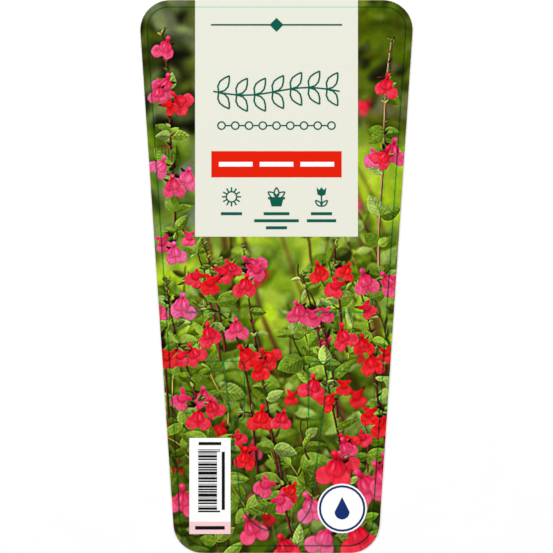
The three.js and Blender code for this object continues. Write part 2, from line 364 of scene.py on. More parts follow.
dot = picture["dot"]
columns = int(round(2 * picture["half"] / dot))
rows = int(round(sheet["height"] / dot))
canvas = np.zeros((rows, columns, 3), np.float32)
gridX = (np.arange(columns, dtype=np.float32) + 0.5) * dot - picture["half"]
gridY = (np.arange(rows, dtype=np.float32) + 0.5) * dot - sheet["height"] / 2
dice = np.random.default_rng(picture["seed"])
between = dice.uniform


# random values on a coarse grid, spread smoothly over the canvas
def cloud(step):
    countY, countX = int(sheet["height"] / step) + 3, int(2 * picture["half"] / step) + 3
    values = between(-1, 1, (countY, countX)).astype(np.float32)
    y = (gridY - gridY[0]) / step
    x = (gridX - gridX[0]) / step
    iy, ix = y.astype(int), x.astype(int)
    fy, fx = (y - iy)[:, None], (x - ix)[None, :]
    fy, fx = fy * fy * (3 - 2 * fy), fx * fx * (3 - 2 * fx)
    top = values[iy][:, ix] * (1 - fx) + values[iy][:, ix + 1] * fx
    low = values[iy + 1][:, ix] * (1 - fx) + values[iy + 1][:, ix + 1] * fx
    return top * (1 - fy) + low * fy


mottle = 0.6 * cloud(0.5) + 0.7 * cloud(1.3)  # small unevenness that every form takes on


# puts all that is painted so far out of focus
def defocus(radius):
    reach = max(int(radius / dot), 1)
    for _ in range(3):
        for axis in (0, 1):
            pads = [(0, 0)] * 3
            pads[axis] = (reach + 1, reach)
            total = np.cumsum(np.pad(canvas.astype(np.float64), pads, "edge"), axis)
            total = np.moveaxis(total, axis, 0)
            window = 2 * reach + 1
            canvas[:] = np.moveaxis((total[window:] - total[:-window]) / window, 0, axis)


# brings out the small forms again, and adds the fine unevenness of real leaves and light
def finishPicture():
    sharp = canvas.copy()
    defocus(picture["crispWidth"])
    canvas[:] = sharp + picture["crisp"] * (sharp - canvas)
    uneven = picture["mottle"] * mottle
    canvas[:] *= (1 + uneven + picture["mottle"] * cloud(picture["patches"]))[..., None]
    np.clip(canvas, 0, 1, out=canvas)


def within(value):
    return np.clip(value, 0, 1)


def blend(low, high, value):  # rises smoothly from 0 to 1 between two values
    t = within((value - low) / (high - low))
    return t * t * (3 - 2 * t)


def pick(names):
    return names[dice.integers(len(names))]


def shade(names, vary=0.14):
    return tints[pick(names)] * between(1 - vary, 1 + vary)


# the part of the canvas within reach of a point, and its points turned so that u runs along a form
def around(x, y, reach, angle):
    x0, x1 = np.searchsorted(gridX, (x - reach, x + reach))
    y0, y1 = np.searchsorted(gridY, (y - reach, y + reach))
    dx = gridX[x0:x1][None, :] - x
    dy = gridY[y0:y1][:, None] - y
    c, s = cos(angle), sin(angle)
    return (slice(y0, y1), slice(x0, x1)), dx * c + dy * s, dy * c - dx * s


def missed(place):  # whether the form hardly falls on the canvas
    return min(part.stop - part.start for part in place) < 3


def towards(tone, other, share):  # a tone moved towards another one, dot by dot
    return tone + (other - tone) * share[..., None]


def lay(place, alpha, tone):
    canvas[place] += (within(tone) - canvas[place]) * alpha[..., None]


def layForm(place, depth, soft, tone):  # a form with a soft edge, from how far each point lies outside it
    lay(place, blend(soft, -soft, depth), tone)


shadowTint = np.array([1.05, 0.9, 1.25], np.float32)  # shadows among leaves stay green


# the same form again, moved down and right and blurred, darkens what lies behind it
def castShadow(place, depth, look, strength):
    shift, blur = look["shift"], look["blur"]
    moved = np.roll(np.roll(depth, -int(shift[1] / dot), 0), int(shift[0] / dot), 1)
    canvas[place] *= 1 - (strength * blend(blur, -blur, moved))[..., None] * shadowTint


# light on a rounded form, from the slope of its depth
def relief(depth, girth):
    inside = within(1 + depth / girth) ** 1.5
    gy, gx = np.gradient(depth, dot)
    lx, ly = picture["light"]
    return (gx * lx + gy * ly) * inside


def union(a, b, soft):  # two forms that run into each other
    h = within(0.5 + 0.5 * (b - a) / soft)
    return b * (1 - h) + a * h - soft * h * (1 - h)


# how far each point lies outside a disc, or outside a capsule with its own radius at each end
def disc(u, v, cu, cv, ru, rv):
    pu, pv = (u - cu) / ru, (v - cv) / rv
    return (np.sqrt(pu * pu + pv * pv) - 1) * min(ru, rv)


def capsule(u, v, au, av, bu, bv, ra, rb):
    du, dv = bu - au, bv - av
    t = within(((u - au) * du + (v - av) * dv) / (du * du + dv * dv))
    return np.hypot(u - au - du * t, v - av - dv * t) - (ra + (rb - ra) * t), t


# the soft foliage far behind, in patches of blots: left, right, low, high, how many and their tones
blot = {"length": (5, 12), "width": (2.5, 6), "reach": 1.6, "cover": 0.85, "fall": 1.6}
backdrop = [
    (-60, 60, 70, 120, 120, ["moss", "deepLeaf", "olive", "leaf", "olive"]),
    (-60, -30, 62, 120, 50, ["smoke", "night", "haze", "moss", "night"]),
    (-62, -34, 46, 90, 14, ["night", "moss"]),
    (46, 62, 90, 120, 6, ["night", "moss"]),
    (-60, 60, 0, 72, 160, ["leaf", "moss", "midLeaf", "deepLeaf"]),
    (-60, -30, 16, 54, 36, ["violet", "smoke", "midLeaf", "violet", "moss"]),
    (30, 60, 52, 84, 20, ["mauve", "moss", "smoke", "midLeaf"]),
    (30, 60, 14, 54, 46, ["lime", "paleLime", "lime", "freshLeaf"]),
    (-60, 60, -60, 16, 300, ["freshLeaf", "midLeaf", "lime", "leaf", "midLeaf", "lime"]),
    (-50, -20, -22, 16, 30, ["lime", "paleLime", "lime"]),
    (12, 44, -30, 10, 30, ["lime", "paleLime", "freshLeaf"]),
    (-60, 60, -120, -54, 260, ["leaf", "deepLeaf", "midLeaf", "moss", "leaf"]),
]


def paintBackdrop():
    canvas[:] = tints["leaf"]
    for left, right, low, high, count, names in backdrop:
        for _ in range(count):
            long, wide = between(*blot["length"]), between(*blot["width"])
            x, y = between(left, right), between(low, high)
            place, u, v = around(x, y, long * blot["reach"], between(0, pi))
            tone = shade(names)
            if not missed(place):
                far = ((u / long) ** 2) * blot["fall"] + ((v / wide) ** 2) * blot["fall"]
                lay(place, blot["cover"] * np.exp(-far), tone)


# round spots of light among the foliage behind
def paintSpots(count, left, right, low, high, names, radii):
    for _ in range(count):
        x, y, radius = between(left, right), between(low, high), between(*radii)
        place, u, v = around(x, y, radius + 1, 0)
        tone = shade(names)
        if not missed(place):
            lay(place, between(0.3, 0.8) * blend(0.4, -0.4, disc(u, v, 0, 0, radius, radius)), tone)


# a leaf: its soft edge, its bend, its folds, its veins and its gloss
leaf = {
    "soft": 0.2,
    "bend": 0.3,
    "swell": 2.74,
    "scallop": 0.035,
    "base": 0.86,
    "fold": 0.42,
    "tip": 0.16,
    "mottle": 0.07,
    "wrinkle": 0.11,
    "darkRim": 0.2,
    "rib": 0.15,
    "rim": 0.04,
    "gloss": 0.5,
    "shift": (0.9, -1.4),
    "blur": 1.2,
}
leafSheen = np.array([0.66, 0.76, 0.40], np.float32)
ribTint = np.array([1.0, 1.0, 0.7])


# a leaf lies along its midrib; veins says how clearly its wrinkled surface shows
def paintLeaf(x, y, angle, length, half, tone, veins, shadow):
    place, u, v = around(x, y, length * 1.2 + 1, angle)
    if missed(place):
        return
    seed = between(0, 6)
    bend = between(-leaf["bend"], leaf["bend"])
    gloss = between(0.0, leaf["gloss"])
    crease = between(0.0, 1.0)
    along = within(u / length)
    across = v - length * bend * along * along
    edge = leaf["swell"] * half * along**0.6 * (1 - along) ** 0.9
    edge = edge * (1 + leaf["scallop"] * veins * np.sin(along * length * 5 + seed))
    depth = np.abs(across) - edge
    ends = np.maximum(-u, u - length)
    depth = np.where(ends > 0, np.maximum(depth, ends), depth)
    castShadow(place, depth, leaf, shadow)
    lit = 1 if sin(angle + 0.7) > 0 else -1  # which half of the leaf faces the light
    fold = 0.5 + 0.5 * np.tanh(lit * across / (0.14 * half + 0.1))
    rise = 1 - within(np.abs(across) / np.maximum(edge, 0.01))
    wave = np.sin((u - np.abs(across) * 1.1) * 2 * pi / (0.6 + 0.13 * length) + seed)
    rib = np.exp(-((across / (0.04 * half + 0.13)) ** 2)) * (1 - 0.6 * along)
    light = leaf["base"] + leaf["fold"] * crease * (fold - 0.55)
    light = light + leaf["tip"] * (along - 0.5) * sin(seed) + leaf["mottle"] * mottle[place]
    light = light + leaf["wrinkle"] * veins * wave * blend(0, 0.4, rise)
    light = light - leaf["darkRim"] * veins * blend(0.16, 0.0, rise) * (1 - fold)
    tones = tone * light[..., None]
    sheen = gloss * blend(0.1, 0.9, fold) * blend(0.0, 0.3, along) * blend(1.0, 0.5, along)
    sheen = sheen * (0.8 + 0.4 * mottle[place] + 0.25 * veins * wave)
    tones = towards(tones, leafSheen, within(sheen))
    rim = np.exp(-(((depth + 0.3) / 0.22) ** 2)) * fold
    tones = tones + ((leaf["rib"] * rib + leaf["rim"] * rim) * veins)[..., None] * ribTint
    layForm(place, depth, leaf["soft"], tones)


# a stem is lit from the left and thins towards its tip
stem = {
    "soft": 0.16,
    "thinning": 0.4,
    "dark": 0.35,
    "shine": 0.5,
    "steps": 24,
    "shift": (0.8, 0),
    "blur": 0.7,
    "beyond": 9,
}


def paintStem(points, width, tone, shadow):
    count = len(points) - 1
    for i, ((ax, ay), (bx, by)) in enumerate(zip(points[:-1], points[1:])):
        length = np.hypot(bx - ax, by - ay)
        mx, my = (ax + bx) / 2, (ay + by) / 2
        place, u, v = around(mx, my, length / 2 + width + 1, 0)
        if missed(place):
            continue
        radius = width / 2 * (1 - stem["thinning"] * i / count)
        depth, t = capsule(u, v, ax - mx, ay - my, bx - mx, by - my, radius, radius)
        across = ((u - (ax - mx)) * (by - ay) - (v - (ay - my)) * (bx - ax)) / length / radius
        beside = np.where((t > 0) & (t < 1), depth, stem["beyond"])  # no shadow past a step's ends
        castShadow(place, beside, stem, shadow)
        light = 1 - stem["dark"] * across + stem["shine"] * np.exp(-((across + 0.4) ** 2) * 8)
        layForm(place, depth, stem["soft"], tone * light[..., None])


def curve(foot, tip, bow):
    t = np.linspace(0, 1, stem["steps"] + 1)
    x = foot[0] + (tip[0] - foot[0]) * t + bow * np.sin(pi * t) + 0.3 * bow * np.sin(3 * pi * t)
    y = foot[1] + (tip[1] - foot[1]) * t
    return np.stack([x, y], 1)


# a flower: its soft edge, from where it counts as out of focus, its shadow, and how much deeper or
# paler its colour gets in its parts
flower = {
    "soft": 0.2,
    "blurred": 0.4,
    "shadow": 0.16,
    "shift": (0.8, -1.2),
    "blur": 1.6,
    "lobe": 2.85,
    "light": 0.15,
    "veins": 0.05,
    "rim": 0.35,
    "throat": 0.38,
    "crease": 0.3,
    "folds": 0.32,
    "bulge": 0.55,
    "headShine": 0.5,
    "hoodShine": 0.4,
    "hoodLight": 0.25,
    "hoodShade": 0.55,
    "gloss": 0.1,
}


def glossy(tone, kind, share):  # a tone where light glances off a petal
    return towards(tone, blooms[kind][2] + flower["gloss"], share)


# the tones of a petal: paler away from the throat and finely veined
def petalTone(u, v, form, kind, seed, place, focus):
    base, deep, pale = blooms[kind]
    lit = flower["light"] * relief(form, 1.6)
    far = within(np.hypot(u, v - 1.2) / 6.0)
    spoke = np.arctan2(u, 1.2 - v)
    veins = 0.5 + 0.5 * np.sin(spoke * 22 + seed * 5 + 2 * np.sin(far * 5))
    share = 0.15 + 0.5 * far + 0.14 * np.sin(1.1 * u + seed) + 0.1 * np.sin(1.7 * v + 2 * seed)
    share = share + 0.22 * focus * mottle[place]
    tone = towards(base, pale, share)
    fine = flower["veins"] * focus * veins * blend(0.25, 0.8, far)
    tone = tone * (1 + lit - fine)[..., None]
    return towards(tone, deep, flower["rim"] * blend(-0.4, 0.05, form))


def lipTone(u, v, lip, bell, kind, *own):
    deep = blooms[kind][1]
    tone = petalTone(u, v, lip, kind, *own)
    tone = towards(tone, deep, flower["throat"] * np.exp(-(((bell - 0.1) / 0.4) ** 2)))
    crease = np.exp(-((u + 0.08 * v) ** 2) * 9) * blend(-5.0, -2.0, v)
    return towards(tone, deep, flower["crease"] * crease)


def bellTone(u, v, bell, lean, kind, seed, place, focus):
    base, deep, pale = blooms[kind]
    spoke = np.arctan2(u - lean, 4.6 - v)
    folds = (0.5 + 0.5 * np.cos(spoke * 13 + seed)) * blend(-1.2, 1.0, v)
    tone = towards(base, pale, 0.25 * blend(2.0, -1.0, v) + 0.15 * focus * mottle[place])
    tone = tone * (1 + 0.2 * relief(bell, 1.4))[..., None]
    shaded = flower["folds"] * folds + 0.45 * blend(1.2, 3.4, v)
    tone = towards(tone, deep, within(shaded))
    bulge = np.exp(-(((u + 0.9) / 0.5) ** 2) - ((v - 0.9) / 1.1) ** 2)
    return glossy(tone, kind, flower["bulge"] * bulge)


def hoodTone(kind, share, lit):
    base, deep = blooms[kind][:2]
    return towards(deep, base, share) * (1 + flower["hoodLight"] * lit)[..., None]


# a blossom seen from the front: a round head on a neck, a pleated bell and a broad lip of two lobes
def paintBlossom(x, y, angle, size, kind, mirror, soft):
    place, u, v = around(x, y, 8 * size, angle)
    if missed(place):
        return
    seed = between(0, 6)
    apart = between(2.4, 3.1)
    tilt = between(-0.7, 0.7)
    shut = between(0.75, 1.0)
    wide = between(0.7, 0.95)
    headX = between(-1.8, 0.5)
    headY = between(4.4, 5.4)
    calyxTone = tints[pick(["calyx", "darkCalyx", "darkCalyx"])]
    focus = 1 if soft < flower["blurred"] else 0
    u, v = u * mirror / size, v / size
    s = soft / size
    lobe = flower["lobe"]
    spin = np.arctan2(v + 2, u)
    wavy = 0.14 * np.sin(3 * spin + seed) + focus * 0.08 * np.sin(9 * spin + 2 * seed)
    left = disc(u, v, -apart, -2.0 + tilt, lobe, 2.9)
    right = disc(u, v, apart * shut, -2.0 - tilt, lobe * shut, 2.9)
    lip = union(union(left, right, 0.3), disc(u, v, 0.0, -1.2, 2.2, 2.4), 0.5) - wavy
    left = disc(u, v, -1.4 * wide, 1.0, 1.75, 2.3)
    right = disc(u, v, 1.35 * wide, 0.9, 1.7, 2.2)
    neck, _ = capsule(u, v, 0.0, 1.8, headX * 0.55, 3.8, 1.4, 0.62)
    bell = union(union(left, right, 0.5), neck, 0.8) - 0.4 * wavy
    head, along = capsule(u, v, headX * 0.5, 3.6, headX, headY, 0.62, 1.12)
    calyx, _ = capsule(u, v, 0.7, 2.3, 2.7, 4.1, 1.05, 0.4)
    castShadow(place, union(lip, bell, 0.5) * size, flower, flower["shadow"])
    layForm(place, calyx, s, calyxTone * (0.8 + 0.7 * relief(calyx, 0.9))[..., None])
    own = kind, seed, place, focus
    layForm(place, lip, s, lipTone(u, v, lip, bell, *own))
    layForm(place, bell, s, bellTone(u, v, bell, headX * 0.5, *own))
    tone = hoodTone(kind, 0.2 + 0.7 * along, relief(head, 0.9))
    shine = flower["headShine"] * np.exp(-((u - headX + 0.35) ** 2 + (v - headY - 0.3) ** 2) * 3)
    layForm(place, head, s, glossy(tone, kind, shine))


# a blossom seen from the side: a finger-like hood, and a lip that hangs to the left unless mirrored
def paintProfile(x, y, angle, size, kind, mirror, soft):
    place, u, v = around(x, y, 8 * size, angle)
    if missed(place):
        return
    seed = between(0, 6)
    droop = between(2.4, 3.2)
    lift = between(3.0, 4.2)
    lean = between(-2.6, -1.0)
    focus = 1 if soft < flower["blurred"] else 0
    u, v = u * mirror / size, v / size
    s = soft / size
    calyx, _ = capsule(u, v, 2.4, 1.7, 4.8, 3.0, 1.0, 0.4)
    tube, run = capsule(u, v, 2.9, 1.8, -0.2, 0.8, 0.85, 1.75)
    hood, along = capsule(u, v, 0.0, 1.7, lean, lift, 1.15, 0.8)
    nearLip = disc(u, v, -2.1, -1.8, 2.4 + 0.3 * sin(seed), droop)
    lip = union(nearLip, disc(u, v, 0.8, -2.6, 2.4, 2.4), 0.35)
    lip = lip - 0.14 * np.sin(3 * np.arctan2(v + 1.5, u + 1) + seed)
    castShadow(place, union(lip, tube, 0.5) * size, flower, flower["shadow"])
    layForm(place, calyx, s, tints["darkCalyx"] * (1.2 + 0.8 * relief(calyx, 0.9))[..., None])
    tone = petalTone(u + 0.8, v, lip, kind, seed, place, focus)
    under = flower["hoodShade"] * blend(1.4, 0.2, np.minimum(tube, hood))
    layForm(place, lip, s, towards(tone, blooms[kind][1], under))
    for form, reach in ((hood, along), (tube, run)):
        lit = relief(form, 0.9)
        tone = hoodTone(kind, 0.4 + 0.6 * reach, lit)
        shine = flower["hoodShine"] * within(lit) * blend(-0.2, -0.6, form)
        layForm(place, form, s, glossy(tone, kind, shine))


bud = {"soft": 0.15, "shadow": 0.3, "shift": (0.5, -0.6), "blur": 0.6, "groove": 0.6}


def paintBud(x, y, angle, size, tone):
    place, u, v = around(x, y, 3.5 * size + 1, angle)
    if missed(place):
        return
    taper = 1.1 - 0.25 * np.clip(u / size, 0, 3)
    depth = size * disc(u / size, v / size / taper, 1.2, 0, 1.4, 0.7)
    castShadow(place, depth, bud, bud["shadow"])
    lit = 0.9 + 0.45 * relief(depth, 0.8 * size)
    layForm(place, depth, bud["soft"], tone * lit[..., None])
    groove = bud["groove"] * blend(0.2, 0.0, np.abs(v / size))
    lay(place, groove * blend(0.1, -0.3, depth), tone * 0.45)


# a bare shoot that arches to the left and ends in buds on short stalks
arch = {"width": 1.1, "shadow": 0.3, "firstBud": 12, "budEvery": 3, "budShare": 0.75, "stalk": 0.5}


def paintArch(x, y, tall, reach):
    t = np.linspace(0, 1, stem["steps"] + 1)
    path = np.stack([x - reach * (0.45 * t + 0.55 * t**3), y + tall * np.sin(0.5 * pi * t)], 1)
    paintStem(path, arch["width"], tints["stem"] * between(0.8, 1.2), arch["shadow"])
    for i in range(arch["firstBud"], stem["steps"] + 1, arch["budEvery"]):
        for side in (-1, 1):
            if dice.random() < arch["budShare"]:
                angle = pi / 2 + side * between(0.5, 1.2) + 0.05 * i
                far = between(0.8, 2.0)
                budX, budY = path[i][0] + far * cos(angle), path[i][1] + far * sin(angle)
                paintStem([path[i], (budX, budY)], arch["stalk"], tints["stem"], 0)
                tone = shade(["calyx", "darkCalyx", "budGreen", "calyx"], 0.2)
                paintBud(budX, budY, angle, between(1.0, 1.4) * (1.3 - 0.02 * i), tone)
    paintBud(*path[-1], pi, 1.0, shade(["budGreen"], 0.1))


# how a shoot's leaves stand: how many are missing, how large and slim they are, how far they turn out
foliage = {"missing": 0.4, "size": (0.5, 1.15), "slim": (0.16, 0.42), "turn": (0.3, 2.1)}


# a shoot: a bowed stem with whorls of leaves, a gap apart, and a bare share at its tip
def paintShoot(foot, tip, bow, width, stemTone, leafTones, lengths, gap, veins, shadow, bare=0.0):
    path = curve(foot, tip, bow)
    paintStem(path, width, stemTone, shadow)
    right, rise = tip[0] - foot[0], tip[1] - foot[1]
    up = np.arctan2(rise, right)
    count = max(int(np.hypot(right, rise) / gap), 1)
    for i in range(count):
        t = (i + 0.2 + 0.6 * dice.random()) / count
        if t > 1 - bare:
            break
        x, y = path[int(t * stem["steps"])]
        length = lengths[1] + (lengths[0] - lengths[1]) * t
        for side in (-1, 1, -1, 1):
            if dice.random() < foliage["missing"]:
                continue
            size = length * between(*foliage["size"])
            half = size * between(*foliage["slim"])
            angle = up + side * between(*foliage["turn"])
            leafTone = shade(leafTones)
            paintLeaf(x, y, angle, size, half, leafTone, veins * between(0.2, 1.0), shadow)
    return path


scattered = {"slim": (0.2, 0.42), "turn": (-0.9, 4.1)}


def scatterLeaves(count, low, high, names, lengths, veins, shadow, left=-60, right=60):
    for _ in range(count):
        length = between(*lengths)
        half = length * between(*scattered["slim"])
        place = between(left, right), between(low, high)
        paintLeaf(*place, between(*scattered["turn"]), length, half, shade(names), veins, shadow)


# a head: to which side and how high its blossoms stand, and how many of them are seen from the side
cluster = {"spots": [(1, 0), (-1, 0), (0, -4.5), (0.5, 5.5)], "apart": (3.8, 6.8), "fromSide": 0.38}


# the blossoms that stand round one point of a stem
def paintHead(x, y, degrees, kinds, size, count):
    turn = np.radians(degrees)
    first = 1 if dice.random() < 0.5 else -1
    spots = []
    for share, rise in cluster["spots"][:count]:
        side = first * share
        far = side * between(*cluster["apart"]) if count > 1 else 0
        spots.append((y + (rise + between(-2.8, 2.8)) * size, x + far * size, side))
    spots.sort(reverse=True)
    for _ in range(count + 1):
        tone = shade(["darkCalyx", "calyx", "darkCalyx", "budGreen"], 0.2)
        place = x + between(-1.4, 1.4) * size, y + between(-1, 2) * size
        paintBud(*place, between(-0.5, 3.6), 1.2 * size, tone)
    for py, px, side in spots:  # from the highest blossom down
        facing = (1 if side < 0 else -1) if side else first
        angle = turn - facing * between(-0.5, 0.9)
        draw = paintProfile if dice.random() < cluster["fromSide"] else paintBlossom
        draw(px, py, angle, size * between(0.78, 1.08), pick(kinds), facing, flower["soft"])


# the upper length of a stem, from a share of its height, set with calyxes and buds
spike = {"start": 0.5, "share": 0.4, "tipBuds": 6}


def paintSpike(path):
    n = len(path)
    for i in range(int(spike["start"] * n), n):
        x, y = path[i]
        size = 1.15 - 0.5 * i / n
        for side in (-1, 1):
            if dice.random() < spike["share"]:
                tone = shade(["calyx", "darkCalyx", "budGreen", "calyx", "budRed"], 0.2)
                paintBud(x, y, pi / 2 - side * between(0.5, 1.2), size, tone)
    x, y = path[-1]
    for _ in range(spike["tipBuds"]):
        tone = shade(["budGreen", "calyx"], 0.15)
        place = x + between(-0.6, 0.6), y + between(-1.2, 0.8)
        paintBud(*place, pi / 2 + between(-1.1, 1.1), 0.75, tone)


# the leaf tones of each layer of foliage
greens = {
    "far": ["leaf", "midLeaf", "freshLeaf", "moss", "leaf", "greyLeaf"],
    "bright": ["lime", "freshLeaf", "midLeaf", "greyLeaf", "freshLeaf"],
    "dim": ["night", "smoke", "haze", "moss", "smoke", "haze"],
    "dusk": ["olive", "olive", "leaf", "moss", "leaf", "night"],
    "low": ["leaf", "deepLeaf", "midLeaf", "leaf", "moss"],
    "near": ["leaf", "midLeaf", "freshLeaf", "greyLeaf", "midLeaf"],
    "mist": ["greyLeaf", "midLeaf", "greyLeaf", "leaf", "freshLeaf"],
    "deep": ["leaf", "midLeaf", "leaf", "freshLeaf", "deepLeaf"],
}
reds = ["scarlet", "scarlet", "crimson"]
pinks = ["rose", "pink", "rose", "crimson"]
mainlyRed = ["scarlet", "crimson", "scarlet", "crimson", "rose"]
mainlyPink = ["rose", "pink", "crimson", "rose"]
# the shoots in front: foot, tip, bow and the tone of the stem
shoots = [
    ((-44, 8), (-49, 104), 2.0, "stem"),
    ((44, -4), (49, 100), -1.5, "tanStem"),
    ((-20, -92), (-47, -2), -3.0, "stem"),
    ((47, -98), (35, -4), 3.0, "stem"),
    ((8, -116), (-14, 12), -2.0, "stem"),
    ((34, -112), (11, 0), 2.0, "stem"),
    ((-22, -32), (-31, 14), 1.0, "stem"),
    ((30, -32), (25, 14), -1.0, "stem"),
]
# the heads on each: their place along the shoot, their turn, how many blossoms, and of which colours
heads = [
    [(0.93, 10, 1, pinks), (0.73, 8, 4, mainlyRed), (0.4, -10, 3, pinks), (0.09, 6, 3, pinks)],
    [(0.86, -6, 1, pinks), (0.58, 4, 3, pinks), (0.0, 12, 2, mainlyPink)],
    [(0.9, 14, 2, mainlyPink), (0.7, 5, 3, reds), (0.42, -6, 3, mainlyPink), (0.16, -8, 1, reds)],
    [(0.9, 10, 1, mainlyPink), (0.74, -10, 3, reds), (0.42, 6, 3, reds), (0.2, -8, 1, mainlyPink)],
    [(0.94, 8, 4, mainlyPink), (0.66, 10, 3, reds), (0.43, 4, 2, reds), (0.22, -8, 3, mainlyRed)],
    [(0.9, -14, 3, mainlyPink), (0.62, 4, 3, reds), (0.32, 12, 1, mainlyPink)],
    [(0.75, 6, 3, reds), (0.2, -12, 2, mainlyPink)],
    [(0.78, -12, 3, reds), (0.14, 20, 1, reds)],
]


# heads and shoots that stand anywhere between two heights
looseHeads = {"across": (-55, 55), "turn": (-35, 35), "size": (0.85, 1.15)}
looseShoots = {"across": (-58, 58), "lean": (-18, 4), "bow": (-4, 4), "width": (0.6, 1.0), "gap": 9}


def someBlossoms(count, low, high, kinds, size, crowd=1):
    for _ in range(count):
        x, y = between(*looseHeads["across"]), between(low, high)
        turn = between(*looseHeads["turn"])
        own = size * between(*looseHeads["size"])
        paintHead(x, y, turn, kinds, own, dice.integers(1, crowd + 1))


def someShoots(count, low, high, tall, tones, lengths, veins, shadow):
    for _ in range(count):
        x, y = between(*looseShoots["across"]), between(low, high)
        tip = (x + between(*looseShoots["lean"]), y + between(*tall))
        stemTone = shade(["stem", "oliveStem", "stem"])
        bow, width = between(*looseShoots["bow"]), between(*looseShoots["width"])
        leaves = tones, lengths, looseShoots["gap"], veins
        paintShoot((x, y), tip, bow, width, stemTone, *leaves, shadow)


# large blossoms close by and out of focus: how soft they are, and the place, size and colour of each
closeSoft = 0.7
closeBlossoms = [
    (25, -83, 1.45, "crimson"),
    (39, -90, 1.5, "rose"),
    (46, -86, 1.4, "rose"),
    (15, -99, 1.2, "pink"),
    (20, -113, 1.3, "pink"),
    (35, -112, 1.5, "crimson"),
    (-40, -96, 1.2, "rose"),
    (-10, -108, 1.2, "rose"),
    (4, -116, 1.2, "crimson"),
]
# bare shoots that arch over between the leaves: foot, height and reach
arches = [
    (-24, -36, 34, 14),
    (26, -60, 46, 16),
    (-8, -84, 70, 22),
    (50, -58, 44, 10),
    (-46, -60, 40, 8),
    (4, -98, 40, 18),
]


# the bare stems behind, and how dark it gets among the stems from one height down to another
bareStems = {"across": (-50, 60), "lean": (4, 34), "bow": (-5, 5), "width": (0.9, 1.5), "pale": 1.2}
depths = {"shade": 0.22, "from": -50, "to": -100}
# the shoots in front: their stem, their leaves, their bare share and the size of their heads
front = {
    "width": 1.2,
    "leaves": greens["near"],
    "lengths": (6, 12),
    "gap": 14,
    "veins": 0.8,
    "shadow": 0.14,
    "bare": 0.15,
    "head": 1.02,
}


def paintBareStems(count, low, high, tall):
    for _ in range(count):
        x, y = between(*bareStems["across"]), between(low, high)
        tip = x - between(*bareStems["lean"]), y + between(*tall)
        path = curve((x, y), tip, between(*bareStems["bow"]))
        width = between(*bareStems["width"])
        paintStem(path, width, shade(["stem", "oliveStem", "brown"]) * bareStems["pale"], 0)


def paintFrontShoot(foot, tip, bow, stemTone):
    leaves = front["leaves"], front["lengths"], front["gap"], front["veins"], front["shadow"]
    path = paintShoot(foot, tip, bow, front["width"], tints[stemTone], *leaves, front["bare"])
    paintSpike(path)
    return path


# every layer is painted over the ones behind it, which go a little more out of focus first; most calls
# give how many and between which heights, then the tones, sizes, veins and shadow
def paintPicture():
    paintBackdrop()
    defocus(1.2)
    scatterLeaves(26, 62, 118, greens["dim"], (9, 18), 0.3, 0.3, -60, -30)
    scatterLeaves(30, 62, 118, greens["dusk"], (6, 13), 0.3, 0.2, 30, 60)
    scatterLeaves(16, 18, 60, greens["far"], (8, 14), 0.3, 0.15, -60, -30)
    paintSpots(26, 28, 60, 52, 112, ["haze", "mauve", "freshLeaf", "olive", "haze"], (0.9, 2.2))
    paintSpots(20, -60, -28, 20, 56, ["violet", "haze", "violet", "midLeaf"], (1.5, 3.5))
    paintSpots(70, -56, 56, -40, 16, ["paleLime", "lime", "paleLime", "freshLeaf"], (1.5, 5.0))
    scatterLeaves(70, -50, 30, greens["bright"], (8, 16), 0, 0.1)
    scatterLeaves(110, -118, -40, greens["low"], (8, 16), 0, 0.15)
    defocus(0.75)
    scatterLeaves(60, -62, 14, greens["far"] + greens["bright"], (8, 15), 0.3, 0.12)
    scatterLeaves(190, -120, -36, greens["low"] + greens["far"], (8, 15), 0.3, 0.14)
    paintBareStems(18, -118, -20, (50, 110))
    someBlossoms(9, -110, 80, mainlyRed, 0.85, 2)
    defocus(0.7)
    someShoots(40, -135, -40, (20, 42), greens["far"], (7, 14), 0.45, 0.11)
    someShoots(18, -40, 2, (18, 34), greens["far"] + greens["bright"], (7, 13), 0.45, 0.1)
    someBlossoms(9, -112, -8, mainlyRed, 0.9, 1)
    defocus(0.3)
    shaded = depths["shade"] * blend(depths["from"], depths["to"], gridY)
    canvas[:] *= (1 - shaded)[:, None, None]
    someShoots(18, -130, -34, (18, 38), greens["near"], (7, 13), 0.7, 0.14)
    someShoots(8, -40, 0, (12, 26), greens["mist"], (6, 11), 0.5, 0.1)
    someShoots(9, -124, -72, (16, 30), greens["deep"], (6, 11), 0.7, 0.14)
    for arching in arches:
        paintArch(*arching)
    paths = [paintFrontShoot(*shoot) for shoot in shoots]
    someBlossoms(7, -114, -50, mainlyRed, 0.95, 1)
    for path, row in zip(paths, heads):
        for along, turn, count, kinds in row:
            x, y = path[int(along * stem["steps"])]
            paintHead(x, y, turn, kinds, front["head"], count)
    for x, y, size, kind in closeBlossoms:
        paintBlossom(x, y, between(-0.5, 0.5), size, kind, 1, closeSoft)
    finishPicture()


# the guide lines of the die are printed in green over the picture, along the cuts and inside the edge
guide = {
    "ink": (0.17, 0.78, 0.52),
    "half": 0.25,
    "soft": 0.1,
    "inset": 3.0,
    "cutInset": 1.0,
    "levelGap": 0.001,
    "shortest": 0.0001,
    "beyond": 9.0,
}


def insideEdge(x, y):  # how far a point lies inside the label's outline
    half, top, bottom = sheet["height"] / 2, sheet["topHalf"], sheet["bottomHalf"]
    slope = (top - bottom) / sheet["height"]
    side = (bottom + (y + half) * slope - np.abs(x)) / np.hypot(1, slope)
    end = half - np.abs(y)
    corner = sheet["corner"]
    rounded = corner - np.hypot(np.maximum(corner - side, 0), np.maximum(corner - end, 0))
    return rounded + np.maximum(np.minimum(side, end) - corner, 0)


def printLine(place, distance):
    share = blend(guide["soft"], -guide["soft"], distance - guide["half"])[..., None]
    canvas[place] *= 1 - share * (1 - np.array(guide["ink"], np.float32))


